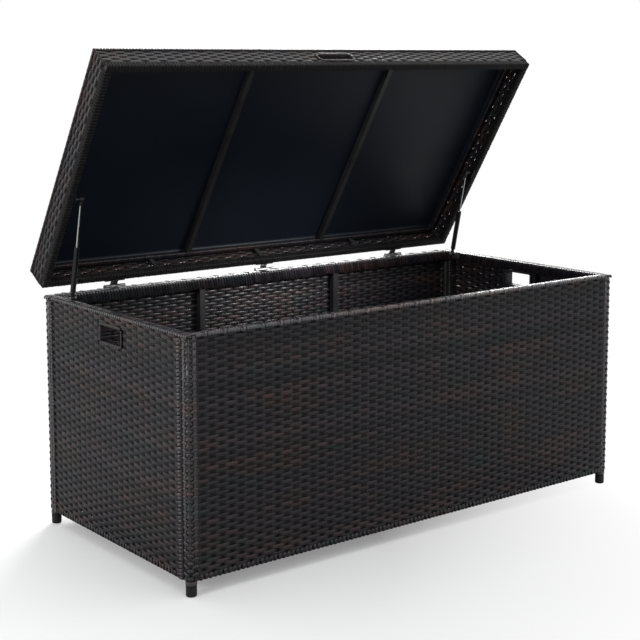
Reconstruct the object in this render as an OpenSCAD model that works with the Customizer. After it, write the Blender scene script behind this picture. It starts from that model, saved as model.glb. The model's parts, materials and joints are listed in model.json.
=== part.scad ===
// Deck storage box: woven knock-down panels, a hinged lid on two gas struts, and four feet.
// Millimetres, +Z up, X along the length, the front at -Y. The lid is drawn open, on its stop.

/* [Box] */
// Length of the box, outside
box_w = 1500; // [1000:10:1800]
// Depth of the box, front to back, outside
box_d = 714; // [560:2:900]
// Height of the rim above the ground
rim_z = 640; // [480:5:800]
// Clear height under the panels
ground_gap = 37; // [34:1:60]
// Thickness of a wall panel over its woven skin
panel_t = 28; // [26:1:40]
// Thickness of the woven skin and of the strands round a rail
skin_t = 4; // [3:0.5:6]
// Wall of the square frame tube
tube_wall = 1.2; // [1:0.1:2.5]
// Height of the wrapped rail along the top of each wall
rim_h = 30; // [27:1:40]
// Gap between an end panel and the corner posts
seam = 1.5; // [1:0.5:3]
// Radius of the rounded outer edge at each corner
corner_r = 12; // [6:1:14]
// Side of the inner posts of the front and back panels
inner_post = 18; // [14:1:18]

/* [Legs and feet] */
// Diameter of the leg tube inside each corner
leg_d = 22; // [18:1:24]
// Height of the wrapped collar below the panels
collar_h = 11; // [6:1:14]
// Diameter of a foot cap
foot_d = 27; // [24:1:29]
// Length of the plug that a foot pushes into its leg
plug_h = 22; // [15:1:40]

/* [Floor] */
// Thickness of the floor panel
floor_t = 4; // [3:0.5:8]
// Number of floor bearers
bearer_n = 3; // [2:1:5]
// Width and height of a floor bearer
bearer = 16; // [12:1:18]

/* [Hand holes] */
// Length of a hand hole
hand_w = 100; // [90:2:140]
// Height of a hand hole
hand_h = 41; // [34:1:50]
// Thickness of the strands round a hand hole
hand_t = 4; // [3:0.5:6]
// Bare gap between the wrapped rail and the hand hole's surround
hand_drop = 2; // [1:0.5:10]

/* [Lid] */
// Height of the lid, rim to top
lid_h = 83; // [76:1:120]
// Gap between the rim of the box and the closed lid
lid_gap = 3.5; // [3:0.5:8]
// How far the lid opens, in degrees
lid_open = 58; // [45:1:75]
// Width of the wrapped edge round the underside of the lid
binding_w = 20; // [18:1:26]
// Thickness of the strands on that edge
binding_t = 3; // [2:0.5:4]
// Side of the tube along the top of the lid
lid_tube = 16; // [14:1:18]
// Side of a lid crossbar
crossbar = 15; // [12:1:15]
// Thickness of the liner sheet
liner_t = 1; // [1:0.5:3]
// Length of the grip slot in the lid's front
grip_w = 120; // [90:5:160]
// Height of the grip slot
grip_h = 26; // [22:1:30]
// Thickness of the edge round the grip slot
grip_t = 3; // [2:0.5:4]

/* [Hinges] */
// Distance of the hinge pin behind the back of the box
pin_back = 17; // [14:1:24]
// Distance of the outer hinges from the middle
hinge_x = 522; // [300:2:600]
// Width of a hinge
hinge_w = 64; // [50:2:90]
// Diameter of a hinge pin
pin_d = 6; // [5:0.5:7]
// Radial running clearance of the hinge pins and strut joints
running = 0.05; // [0.03:0.01:0.1]
// Thickness of a hinge leaf
leaf_t = 2.5; // [2:0.1:3]
// Diameter of the screws
screw_d = 4; // [3:0.5:4]
// Radial clearance round a fastener
fastener_gap = 0.15; // [0.1:0.05:0.3]

/* [Gas struts] */
// Distance of a strut from the outer side of the box
strut_in = 46; // [44:1:60]
// Distance of the lower joint in front of the back of the box
strut_low_y = 74; // [60:1:120]
// Height of the lower joint above the rim
strut_low_z = -3; // [-5:0.5:0]
// Distance of the upper joint from the back of the closed lid
strut_up_y = 292; // [270:2:330]
// Height of the upper joint above the lid's lower edge
strut_up_z = 12; // [8:0.5:14]
// Diameter of the strut tube
strut_tube_d = 15; // [13:0.5:17]
// Length of the strut tube, from the lower joint
strut_tube_l = 147; // [130:1:150]
// Diameter of the strut rod
strut_rod_d = 6.5; // [5:0.5:8]

/* [Hidden] */
$fn = 48;
// small overlap that keeps a cut clean
over = 1;
// clear gap between pieces that only sit side by side
gap = 0.3;

half_w = box_w / 2;
half_d = box_d / 2;
tube = panel_t - 2 * skin_t;
rail_top_z = rim_z - skin_t;
rail_low_z = ground_gap + skin_t;
floor_z = rail_low_z + tube;
end_half = half_d - panel_t - seam;
leg_x = half_w - panel_t / 2;
leg_y = half_d - panel_t / 2;
leg_bore_d = leg_d - 2 * tube_wall;
foot_h = ground_gap - collar_h;
foot_round = 3;
foot_bevel = 1;
plug_gap = 0.1;
plug_taper = 2;
post_in = 1;
inner_post_x = box_w / 6;

hand_top_z = rim_z - rim_h - hand_drop - hand_t;
hand_mid_z = hand_top_z - hand_h / 2;
hand_out_w = hand_w + 2 * hand_t;
hand_out_h = hand_h + 2 * hand_t;
hand_bar_in = 2;

lid_z = rim_z + lid_gap;
lid_top_z = lid_z + lid_h;
ring_out = skin_t + 0.5;
ring_in = ring_out + lid_tube;
ring_z = lid_top_z - skin_t - lid_tube;
crossbar_drop = 1;
crossbar_z = ring_z - crossbar_drop;
crossbar_x = box_w / 6;
upright_w = 14;
upright_t = 4;
upright_in = ring_out + lid_tube / 2;
corner_post = 10;
// the sunk joint between pieces of one welded frame
weld = 0.5;
// a tube's closed joint, and the holes that let a tube drain
tube_joint = 4;
drain_r = 2;
grip_deep = 4;
grip_mid_z = lid_z + binding_w + (ring_z - lid_z - binding_w) / 2;

pivot_y = half_d + pin_back;
pivot_z = rim_z;
knuckle_wall = 3;
knuckle_r = pin_d / 2 + knuckle_wall;
leaf_gap = 0.4;
knuckle_share = 0.32;
box_knuckle_w = hinge_w * knuckle_share;
lid_knuckle_w = hinge_w - 2 * box_knuckle_w - 2 * leaf_gap;
box_leaf_h = 25;
// how far a leaf stops short of the rim, and a hinge's webs short of the leaf's edge
leaf_drop = 2;
web_drop = 1;
box_screw_z = rail_top_z - tube / 2;
lid_screw_z = lid_z + binding_w / 2;
screw_l = 13;
screw_head_ratio = 1.9;
screw_head_d = screw_d * screw_head_ratio;
screw_head_h = 2.2;
screw_edge = 10;
hinge_screw_x = hinge_w / 2 - screw_edge;
pin_head_h = 1.6;
pin_head_out = 1.5;
pin_reach = 1;

bolt_d = 6;
bolt_head_d = 11;
bolt_head_h = 4;
bolt_y = end_half - tube;
bolt_nut_h = 5;
bolt_tip = 2;
bolt_inset = 60;
nut_wall = 2;
bolt_heights = [rail_low_z + tube + bolt_inset, rail_top_z - tube - bolt_inset];

strut_x = half_w - strut_in;
eye_r = 7;
eye_t = 12;
neck_r = 5;
stud_r = 3;
stud_collar = 2;
stud_head_l = 3;
stud_root = 0.5;
plate_t = 2.3;
bracket_drop = 8;
bracket_rise = 1;
side_gap = 0.35;
box_bracket_l = 30;
bracket_screw_dy = 11;
low_y = half_d - strut_low_y;
low_z = rim_z + strut_low_z;
up_closed = [half_d - strut_up_y - pivot_y, lid_z + strut_up_z - pivot_z];
up_y = pivot_y + up_closed[0] * cos(lid_open) + up_closed[1] * sin(lid_open);
up_z = pivot_z - up_closed[0] * sin(lid_open) + up_closed[1] * cos(lid_open);
strut_l = norm([up_y - low_y, up_z - low_z]);
strut_a = atan2(low_y - up_y, up_z - low_z);
strut_wall = 1.2;
strut_bore_r = strut_tube_d / 2 - strut_wall;
strut_cap = 3;
gland_l = 12;
piston_l = 8;
piston_stop = 4;
piston_gap = 0.1;
piston_top = strut_tube_l - gland_l - piston_stop;
neck_l = 17;

// the middle of the open box's footprint is the origin, so all of it moves forward by this much
back_y = pivot_y - pin_back * cos(lid_open) + (lid_gap + lid_h) * sin(lid_open);
shift_y = (half_d - back_y) / 2;

wicker = "#2f2826";
steel = "#2b2c2e";
zinc = "#b9bcbf";
black = "#141415";
liner_blue = "#10161d";

// ---- helpers -------------------------------------------------------------

// puts a lid piece, drawn shut on the box, at its open place
module open_lid()
    translate([0, pivot_y, pivot_z]) rotate([-lid_open, 0, 0])
        translate([0, -pivot_y, -pivot_z]) children();

// puts a strut piece, drawn from its lower joint up along +Z, at its place on one side
module at_strut(side)
    translate([side * strut_x, low_y, low_z]) rotate([strut_a, 0, 0]) children();

// a box from its low corner to its high corner
module block(lo, hi) translate(lo) cube(hi - lo);

// repeats a piece, drawn on the +X side, on both ends
module both_ends() { children(); mirror([1, 0, 0]) children(); }

// turns a piece drawn for the front into one for the back, or +X into -X
module flip_y(on) mirror([0, on ? 1 : 0, 0]) children();
module flip_x(on) mirror([on ? 1 : 0, 0, 0]) children();

module x_rod(r, x0, x1) translate([x0, 0, 0]) rotate([0, 90, 0]) cylinder(r = r, h = x1 - x0);
module y_rod(r, y0, y1) translate([0, y0, 0]) rotate([-90, 0, 0]) cylinder(r = r, h = y1 - y0);

// a screw along -X, its head's underside at x = 0
module side_screw(extra)
    union() {
        x_rod(screw_d / 2 + extra, 0, screw_l + extra);
        x_rod(screw_head_d / 2 + extra, -screw_head_h - extra, 0);
    }

// ---- box -----------------------------------------------------------------

module bolt_axis(x_side, y_side, z)
    translate([x_side * leg_x, 0, z]) mirror([0, y_side > 0 ? 0 : 1, 0]) children();

module bolt_holes()
    for (sx = [-1, 1], sy = [-1, 1], z = bolt_heights)
        bolt_axis(sx, sy, z)
            y_rod(bolt_d / 2 + fastener_gap, bolt_y - over, leg_y + bolt_tip + over);

// an inner post, or its hollow, drawn a wall thinner and a little shorter than the gap it fills
module inner_post_bar(side, wall, reach) {
    y0 = -half_d + skin_t + post_in;
    block([side * inner_post_x - inner_post / 2 + wall, y0 + wall, floor_z - reach],
          [side * inner_post_x + inner_post / 2 - wall, y0 + inner_post - wall,
           rail_top_z - tube + reach]);
}

// frame of a long panel, drawn at the front: two legs, two rails and two inner posts
module long_frame()
    difference() {
        union() {
            for (s = [-1, 1]) translate([s * leg_x, -leg_y, foot_h])
                cylinder(d = leg_d, h = rail_top_z - foot_h);
            for (z = [rail_low_z, rail_top_z - tube])
                block([-leg_x, -half_d + skin_t, z], [leg_x, -half_d + skin_t + tube, z + tube]);
            for (s = [-1, 1]) inner_post_bar(s, 0, weld);
        }
        for (s = [-1, 1]) inner_post_bar(s, tube_wall, -weld);
        for (s = [-1, 1]) translate([s * leg_x, -leg_y, foot_h - over])
            cylinder(d = leg_bore_d, h = rail_top_z - foot_h - tube_wall + over);
        for (z = [rail_low_z, rail_top_z - tube])
            block([-leg_x, -half_d + skin_t + tube_wall, z + tube_wall],
                  [leg_x, -half_d + skin_t + tube - tube_wall, z + tube - tube_wall]);
        bolt_holes();
    }

module front_frame() color(steel) long_frame();
module back_frame() color(steel)
    difference() {
        flip_y(true) long_frame();
        hinge_box_screw_set(fastener_gap);
    }

// the bars under and beside a hand hole, or their hollow, a wall thinner all round
module hand_bars(x0, x1, hy, hz, bar, wall) {
    block([x0 + wall, -hy - bar + wall, hz - bar + wall], [x1 - wall, hy + bar - wall, hz - wall]);
    for (s = [-1, 1])
        block([x0 + wall, (s > 0 ? hy : -hy - bar) + wall, hz - bar + wall],
              [x1 - wall, (s > 0 ? hy + bar : -hy) - wall, rail_top_z - tube + 2 * tube_wall]);
}

// frame of an end panel, drawn at +X: a ring and the bars round the hand hole
module end_frame()
    difference() {
        x0 = half_w - skin_t - tube;
        x1 = half_w - skin_t;
        bar = tube - 2 * hand_bar_in;
        hy = hand_out_w / 2 + gap;
        hz = hand_mid_z - hand_out_h / 2 - gap;
        union() {
            for (s = [-1, 1]) block([x0, s > 0 ? end_half - tube : -end_half, rail_low_z],
                                    [x1, s > 0 ? end_half : -end_half + tube, rail_top_z]);
            for (z = [rail_low_z, rail_top_z - tube])
                block([x0, -end_half, z], [x1, end_half, z + tube]);
            hand_bars(x0 + hand_bar_in, x1 - hand_bar_in, hy, hz, bar, 0);
        }
        hand_bars(x0 + hand_bar_in, x1 - hand_bar_in, hy, hz, bar, tube_wall);
        for (z = [rail_low_z, rail_top_z - tube])
            block([x0 + tube_wall, -end_half + tube_wall, z + tube_wall],
                  [x1 - tube_wall, end_half - tube_wall, z + tube - tube_wall]);
        for (s = [-1, 1])
            block([x0 + tube_wall, s > 0 ? end_half - tube + tube_wall : -end_half + tube_wall,
                   rail_low_z - over],
                  [x1 - tube_wall, s > 0 ? end_half - tube_wall : -end_half + tube - tube_wall,
                   rail_top_z - tube_wall]);
        bolt_holes();
        strut_box_screw_set(fastener_gap);
    }

module right_frame() color(steel) end_frame();
module left_frame() color(steel) flip_x(true) end_frame();

// woven skin of a long panel, with its strands turned in under the lower rail
module long_weave()
    rotate([90, 0, 90]) translate([0, 0, -half_w + panel_t + gap])
        linear_extrude(box_w - 2 * panel_t - 2 * gap)
            polygon([[-half_d, ground_gap], [-half_d + panel_t - skin_t, ground_gap],
                     [-half_d + panel_t - skin_t, rail_low_z - gap],
                     [-half_d + skin_t - gap, rail_low_z - gap],
                     [-half_d + skin_t - gap, rim_z - rim_h - gap], [-half_d, rim_z - rim_h - gap]]);

module front_weave() color(wicker) long_weave();
module back_weave() color(wicker) flip_y(true) long_weave();

module end_weave()
    difference() {
        mirror([0, 1, 0]) rotate([90, 0, 0]) translate([0, 0, -end_half])
            linear_extrude(2 * end_half)
                polygon([[half_w, ground_gap], [half_w - panel_t + skin_t, ground_gap],
                         [half_w - panel_t + skin_t, rail_low_z - gap],
                         [half_w - skin_t + gap, rail_low_z - gap],
                         [half_w - skin_t + gap, rim_z - rim_h - gap],
                         [half_w, rim_z - rim_h - gap]]);
        block([half_w - panel_t, -hand_out_w / 2 - gap, hand_mid_z - hand_out_h / 2 - gap],
              [half_w + over, hand_out_w / 2 + gap, hand_mid_z + hand_out_h / 2 + gap]);
    }

module right_weave() color(wicker) end_weave();
module left_weave() color(wicker) flip_x(true) end_weave();

// wrapped top rail: a channel turned over the rail, rounded along its outer edge
module rim_profile()
    difference() {
        union() {
            translate([0, -rim_h]) square([panel_t, rim_h - corner_r / 2]);
            translate([corner_r / 2, -corner_r / 2]) square([panel_t - corner_r / 2, corner_r / 2]);
            translate([corner_r / 2, -corner_r / 2]) circle(corner_r / 2);
        }
        translate([skin_t - gap, -rim_h - over])
            square([tube + 2 * gap, rim_h - skin_t + gap + over]);
    }

module long_rim()
    translate([-half_w + panel_t + gap, -half_d, rim_z]) rotate([90, 0, 90])
        linear_extrude(box_w - 2 * panel_t - 2 * gap) rim_profile();

module end_rim()
    translate([half_w, end_half, rim_z]) rotate([90, 0, 0])
        linear_extrude(2 * end_half) mirror([1, 0, 0]) rim_profile();

module front_rim() color(wicker) long_rim();
module back_rim() color(wicker)
    difference() {
        flip_y(true) long_rim();
        hinge_box_screw_set(fastener_gap);
    }
module right_rim() color(wicker) difference() { end_rim(); strut_box_screw_set(fastener_gap); }
module left_rim() color(wicker)
    difference() { flip_x(true) end_rim(); strut_box_screw_set(fastener_gap); }

// strands braided round one leg, at +X and -Y: square inside, round on the outer edge
module corner_wrap()
    difference() {
        translate([half_w - panel_t, -half_d, ground_gap - collar_h])
            linear_extrude(rim_z - ground_gap + collar_h)
                difference() {
                    union() {
                        translate([0, corner_r]) square([panel_t, panel_t - corner_r]);
                        square([panel_t - corner_r, panel_t]);
                        translate([panel_t - corner_r, corner_r]) circle(corner_r);
                    }
                    translate([panel_t / 2, panel_t / 2]) circle(d = leg_d + 2 * fastener_gap);
                }
        // the rails and the lower part, which is a round collar
        for (z = [rail_low_z, rail_top_z - tube])
            block([half_w - panel_t - over, -half_d + skin_t - gap, z - gap],
                  [leg_x, -half_d + skin_t + tube + gap, z + tube + gap]);
        translate([leg_x, -leg_y, ground_gap - collar_h - over]) difference() {
            cylinder(r = panel_t, h = collar_h + over);
            cylinder(d = panel_t, h = collar_h + over);
        }
        bolt_holes();
    }

module corner_wraps() color(wicker)
    for (y = [false, true]) flip_y(y) both_ends() corner_wrap();

// strands round a hand hole, a short sleeve through the end panel, drawn at +X
module hand_hole()
    difference() {
        block([half_w - panel_t, -hand_out_w / 2, hand_mid_z - hand_out_h / 2],
              [half_w, hand_out_w / 2, hand_mid_z + hand_out_h / 2]);
        block([half_w - panel_t - over, -hand_w / 2, hand_mid_z - hand_h / 2],
              [half_w + over, hand_w / 2, hand_mid_z + hand_h / 2]);
    }

module right_hand_hole() color(wicker) hand_hole();
module left_hand_hole() color(wicker) flip_x(true) hand_hole();

module floor_panel() color(black)
    block([-half_w + panel_t + gap, -half_d + skin_t + tube + gap, floor_z],
          [half_w - panel_t - gap, half_d - skin_t - tube - gap, floor_z + floor_t]);

module floor_bearers() color(steel)
    for (i = [0:bearer_n - 1]) {
        x = (i - (bearer_n - 1) / 2) * (box_w - 2 * panel_t) / bearer_n;
        reach = half_d - skin_t - tube;
        difference() {
            block([x - bearer / 2, -reach, floor_z - bearer], [x + bearer / 2, reach, floor_z]);
            block([x - bearer / 2 + tube_wall, -reach - over, floor_z - bearer + tube_wall],
                  [x + bearer / 2 - tube_wall, reach + over, floor_z - tube_wall]);
        }
    }

// foot cap: a turned plastic cap with a plug that pushes up into the leg tube
module foot(x_side, y_side) color(black)
    translate([x_side * leg_x, y_side * leg_y, 0]) rotate_extrude()
        polygon([[0, 0], [foot_d / 2 - foot_round, 0], [foot_d / 2 - foot_bevel, foot_bevel],
                 [foot_d / 2, foot_round], [foot_d / 2, foot_h - gap],
                 [leg_bore_d / 2 - plug_gap, foot_h - gap],
                 [leg_bore_d / 2 - plug_gap, foot_h + plug_h - plug_taper],
                 [leg_bore_d / 2 - plug_taper, foot_h + plug_h], [0, foot_h + plug_h]]);

module foot_front_left() foot(-1, -1);
module foot_front_right() foot(1, -1);
module foot_back_left() foot(-1, 1);
module foot_back_right() foot(1, 1);

// bolts that join the end panels to the legs, and the nuts inside the legs
module panel_bolts() color(zinc)
    for (sx = [-1, 1], sy = [-1, 1], z = bolt_heights) bolt_axis(sx, sy, z) {
        y_rod(bolt_d / 2, bolt_y - weld, leg_y + bolt_tip);
        y_rod(bolt_head_d / 2, bolt_y - bolt_head_h, bolt_y);
    }

module panel_nuts() color(zinc)
    for (sx = [-1, 1], sy = [-1, 1], z = bolt_heights) bolt_axis(sx, sy, z)
        difference() {
            y_rod(bolt_d / 2 + nut_wall, leg_y - bolt_nut_h / 2 - bolt_tip,
                  leg_y + bolt_nut_h / 2 - bolt_tip);
            y_rod(bolt_d / 2 + running, leg_y - bolt_nut_h, leg_y + bolt_nut_h);
        }

// ---- hinges --------------------------------------------------------------

// box leaf: a plate on the back of the rail, with a knuckle at each end of the pin
module box_leaf(x)
    color(zinc) translate([x, 0, 0]) difference() {
        union() {
            block([-hinge_w / 2, half_d + gap, rim_z - box_leaf_h - leaf_drop],
                  [hinge_w / 2, half_d + gap + leaf_t, rim_z - leaf_drop]);
            for (s = [-1, 1]) {
                x0 = s > 0 ? hinge_w / 2 - box_knuckle_w : -hinge_w / 2;
                block([x0, half_d + gap, rim_z - leaf_drop - leaf_t - web_drop],
                      [x0 + box_knuckle_w, pivot_y, rim_z - leaf_drop - web_drop]);
                translate([0, pivot_y, pivot_z]) x_rod(knuckle_r, x0, x0 + box_knuckle_w);
            }
        }
        translate([0, pivot_y, pivot_z]) x_rod(pin_d / 2 + running, -hinge_w, hinge_w);
        translate([-x, 0, 0]) hinge_box_screw_set(fastener_gap);
    }

module left_hinge_box_leaf() box_leaf(-hinge_x);
module centre_hinge_box_leaf() box_leaf(0);
module right_hinge_box_leaf() box_leaf(hinge_x);

// lid leaf: a plate on the back of the lid's wrapped edge, with the middle knuckle
module lid_leaf(x)
    color(zinc) open_lid() translate([x, 0, 0]) difference() {
        union() {
            block([-hinge_w / 2, half_d + gap, lid_z + leaf_drop],
                  [hinge_w / 2, half_d + gap + leaf_t, lid_z + binding_w - web_drop]);
            block([-lid_knuckle_w / 2, half_d + gap, lid_z + leaf_drop],
                  [lid_knuckle_w / 2, pivot_y, lid_z + leaf_drop + leaf_t]);
            block([-lid_knuckle_w / 2, pivot_y - leaf_t / 2, pivot_z],
                  [lid_knuckle_w / 2, pivot_y + leaf_t / 2, lid_z + leaf_drop + leaf_t]);
            translate([0, pivot_y, pivot_z]) x_rod(knuckle_r, -lid_knuckle_w / 2, lid_knuckle_w / 2);
        }
        translate([0, pivot_y, pivot_z]) x_rod(pin_d / 2 + running, -hinge_w, hinge_w);
        translate([-x, 0, 0]) hinge_lid_screw_set(fastener_gap);
    }

module left_hinge_lid_leaf() lid_leaf(-hinge_x);
module centre_hinge_lid_leaf() lid_leaf(0);
module right_hinge_lid_leaf() lid_leaf(hinge_x);

module hinge_pins() color(zinc)
    for (x = [-hinge_x, 0, hinge_x]) translate([x, pivot_y, pivot_z]) {
        x_rod(pin_d / 2, -hinge_w / 2 - pin_reach, hinge_w / 2 + pin_reach);
        for (s = [-1, 1]) translate([s * (hinge_w / 2 + pin_head_h / 2 + gap), 0, 0])
            x_rod(pin_d / 2 + pin_head_out, -pin_head_h / 2, pin_head_h / 2);
    }

// a screw along -Y, its head behind the leaf
module back_screw(y, z, extra)
    translate([0, y, z]) {
        y_rod(screw_d / 2 + extra, -screw_l, weld);
        y_rod(screw_head_d / 2 + extra, 0, screw_head_h + extra);
    }

module hinge_box_screw_set(extra)
    for (x = [-hinge_x, 0, hinge_x], s = [-1, 1])
        translate([x + s * hinge_screw_x, 0, 0])
            back_screw(half_d + gap + leaf_t, box_screw_z, extra);

module hinge_lid_screw_set(extra)
    for (x = [-hinge_x, 0, hinge_x], s = [-1, 1])
        translate([x + s * hinge_screw_x, 0, 0])
            back_screw(half_d + gap + leaf_t, lid_screw_z, extra);

module hinge_box_screws() color(zinc) hinge_box_screw_set(0);
module hinge_lid_screws() color(zinc) open_lid() hinge_lid_screw_set(0);

// ---- lid -----------------------------------------------------------------

// a rectangular ring of bar, given how far its outer and inner faces are from the lid's sides
module lid_ring(out, inn, z0, z1)
    difference() {
        block([-half_w + out, -half_d + out, z0], [half_w - out, half_d - out, z1]);
        block([-half_w + inn, -half_d + inn, z0 - over], [half_w - inn, half_d - inn, z1 + over]);
    }

// short uprights between the lid's lower and upper tubes
module lid_uprights(extra) {
    z0 = lid_z + binding_w - binding_t - weld;
    z1 = ring_z + weld;
    for (x = [-box_w / 4, 0, box_w / 4])
        block([x - upright_w / 2 - extra, half_d - upright_in - extra, z0],
              [x + upright_w / 2 + extra, half_d - upright_in + upright_t + extra, z1]);
    for (x = [-box_w / 4, box_w / 4])
        block([x - upright_w / 2 - extra, -half_d + upright_in - upright_t - extra, z0],
              [x + upright_w / 2 + extra, -half_d + upright_in + extra, z1]);
    for (sx = [-1, 1], sy = [-1, 1])
        translate([sx * (half_w - upright_in), sy * (half_d - upright_in), z0])
            linear_extrude(z1 - z0) square(corner_post + 2 * extra, center = true);
}

module lid_frame() color(steel) open_lid()
    difference() {
        union() {
            lid_ring(binding_t, binding_w - binding_t, lid_z + binding_t,
                     lid_z + binding_w - binding_t);
            lid_ring(ring_out, ring_in, ring_z, ring_z + lid_tube);
            lid_uprights(0);
        }
        // the tubes are hollow, with a closed joint in the middle of the front and the back
        difference() {
            union() {
                lid_ring(binding_t + tube_wall, binding_w - binding_t - tube_wall,
                         lid_z + binding_t + tube_wall, lid_z + binding_w - binding_t - tube_wall);
                lid_ring(ring_out + tube_wall, ring_in - tube_wall, ring_z + tube_wall,
                         ring_z + lid_tube - tube_wall);
            }
            block([-tube_joint / 2, -half_d, lid_z], [tube_joint / 2, half_d, lid_top_z]);
        }
        // drain holes let the hollow tubes breathe
        for (sx = [-1, 1], sy = [-1, 1]) {
            translate([sx * half_w / 2, sy * (half_d - binding_w / 2), lid_z])
                cylinder(r = drain_r, h = binding_w / 2);
            translate([sx * half_w / 3, sy * (half_d - upright_in), ring_z - over])
                cylinder(r = drain_r, h = lid_tube / 2);
        }
        hinge_lid_screw_set(fastener_gap);
        strut_lid_screw_set(fastener_gap);
    }

module crossbar(x, extra)
    block([x - crossbar / 2 - extra, -half_d + ring_in, crossbar_z],
          [x + crossbar / 2 + extra, half_d - ring_in, crossbar_z + crossbar + extra]);

// a crossbar is a square tube, open at both ends
module crossbar_tube(x)
    difference() {
        crossbar(x, 0);
        block([x - crossbar / 2 + tube_wall, -half_d, crossbar_z + tube_wall],
              [x + crossbar / 2 - tube_wall, half_d, crossbar_z + crossbar - tube_wall]);
    }

module lid_left_crossbar() color(steel) open_lid() crossbar_tube(-crossbar_x);
module lid_right_crossbar() color(steel) open_lid() crossbar_tube(crossbar_x);

module lid_top_weave() color(wicker) open_lid()
    block([-half_w, -half_d, lid_top_z - skin_t + gap], [half_w, half_d, lid_top_z]);

// woven side of the lid, from the wrapped edge to the top
skirt_lo = lid_z + binding_w + gap;
skirt_hi = lid_top_z - skin_t;

module long_skirt()
    block([-half_w, -half_d, skirt_lo], [half_w, -half_d + skin_t, skirt_hi]);

module end_skirt()
    block([half_w - skin_t, -half_d + skin_t + gap, skirt_lo],
          [half_w, half_d - skin_t - gap, skirt_hi]);

module grip_slot()
    union() {
        square([grip_w - grip_h, grip_h], center = true);
        for (s = [-1, 1]) translate([s * (grip_w - grip_h) / 2, 0]) circle(r = grip_h / 2);
    }

module grip_surround(extra)
    square([grip_w + 2 * grip_t + 2 * extra, grip_h + 2 * grip_t + 2 * extra], center = true);

module at_grip() translate([0, -half_d, grip_mid_z]) rotate([-90, 0, 0]) children();

// the front side is woven in four lengths: either end, and over and under the grip slot
module lid_front_weave() color(wicker) open_lid()
    difference() {
        long_skirt();
        at_grip() translate([0, 0, -over]) linear_extrude(binding_w + over) {
            grip_surround(gap);
            for (s = [-1, 1]) translate([s * (grip_w / 2 + grip_t + gap / 2), 0])
                square([gap, 2 * lid_h], center = true);
        }
    }
module lid_back_weave() color(wicker) open_lid() flip_y(true) long_skirt();
module lid_right_weave() color(wicker) open_lid() end_skirt();
module lid_left_weave() color(wicker) open_lid() flip_x(true) end_skirt();

// edge round the grip slot, a short sleeve through the front of the lid
module lid_grip() color(wicker) open_lid()
    at_grip() linear_extrude(skin_t + grip_deep) difference() { grip_surround(0); grip_slot(); }

// strands wrapped round the lower tube of the lid, all the way round
module lid_binding() color(wicker) open_lid()
    difference() {
        lid_ring(0, binding_w, lid_z, lid_z + binding_w);
        lid_ring(binding_t - gap / 2, binding_w - binding_t + gap / 2, lid_z + binding_t - gap / 2,
                 lid_z + binding_w - binding_t + gap / 2);
        lid_uprights(gap);
        hinge_lid_screw_set(fastener_gap);
        strut_lid_screw_set(fastener_gap);
    }

// liner sheet stretched over the crossbars, its edge turned down inside the upper tube
module lid_liner() color(liner_blue) open_lid() {
    z1 = lid_top_z - skin_t - gap;
    inn = ring_in + gap;
    difference() {
        block([-half_w + inn, -half_d + inn, ring_z], [half_w - inn, half_d - inn, z1]);
        block([-half_w + inn + liner_t, -half_d + inn + liner_t, ring_z - over],
              [half_w - inn - liner_t, half_d - inn - liner_t, z1 - liner_t]);
        for (s = [-1, 1]) crossbar(s * crossbar_x, gap);
    }
}

// ---- gas struts ----------------------------------------------------------

module strut_box_screw_set(extra)
    for (sx = [-1, 1], s = [-1, 1])
        flip_x(sx < 0) translate([half_w - panel_t - plate_t - gap, low_y + s * bracket_screw_dy,
                                  box_screw_z]) side_screw(extra);

module strut_lid_screw_set(extra)
    for (sx = [-1, 1], s = [-1, 1])
        flip_x(sx < 0) translate([half_w - binding_w - plate_t - gap,
                                  half_d - strut_up_y + s * bracket_screw_dy,
                                  lid_screw_z]) side_screw(extra);

module strut_box_screws() color(zinc) strut_box_screw_set(0);
module strut_lid_screws() color(zinc) open_lid() strut_lid_screw_set(0);

// bracket on the inside of an end panel, with the stud that the strut turns on
module box_bracket() {
    x1 = half_w - panel_t - gap;
    difference() {
        union() {
            block([x1 - plate_t, low_y - box_bracket_l / 2, box_screw_z - bracket_drop],
                  [x1, low_y + box_bracket_l / 2, rim_z + bracket_rise]);
            translate([0, low_y, low_z]) {
                x_rod(stud_r, strut_x - eye_t / 2 - stud_head_l, x1 - plate_t + stud_root);
                x_rod(stud_r + stud_collar, strut_x + eye_t / 2 + side_gap, x1 - plate_t + stud_root);
                x_rod(stud_r + stud_collar, strut_x - eye_t / 2 - stud_head_l,
                      strut_x - eye_t / 2 - side_gap);
            }
        }
        strut_box_screw_set(fastener_gap);
    }
}

module right_strut_box_bracket() color(zinc) box_bracket();
module left_strut_box_bracket() color(zinc) flip_x(true) box_bracket();

// bracket inside the lid; its stud stops just short of the strut's upper end
module lid_bracket() open_lid() {
    x1 = half_w - binding_w - gap;
    y = half_d - strut_up_y;
    difference() {
        union() {
            block([x1 - plate_t, y - box_bracket_l / 2, lid_z + bracket_rise],
                  [x1, y + box_bracket_l / 2, lid_z + binding_w + 2 * bracket_rise]);
            translate([0, y, lid_z + strut_up_z])
                x_rod(stud_r + stud_collar, strut_x + eye_t / 2 + side_gap, x1 - plate_t + stud_root);
        }
        strut_lid_screw_set(fastener_gap);
    }
}

module right_strut_lid_bracket() color(zinc) lid_bracket();
module left_strut_lid_bracket() color(zinc) flip_x(true) lid_bracket();

// pressure tube with its gland rolled in at the top
module strut_tube(side) color(black) at_strut(side)
    rotate_extrude() difference() {
        translate([0, neck_l]) square([strut_tube_d / 2, strut_tube_l - neck_l]);
        translate([0, neck_l + strut_cap])
            square([strut_bore_r, strut_tube_l - neck_l - strut_cap - gland_l]);
        translate([0, neck_l]) square([strut_rod_d / 2 + running, strut_tube_l]);
    }

module left_strut_tube() strut_tube(-1);
module right_strut_tube() strut_tube(1);

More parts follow.
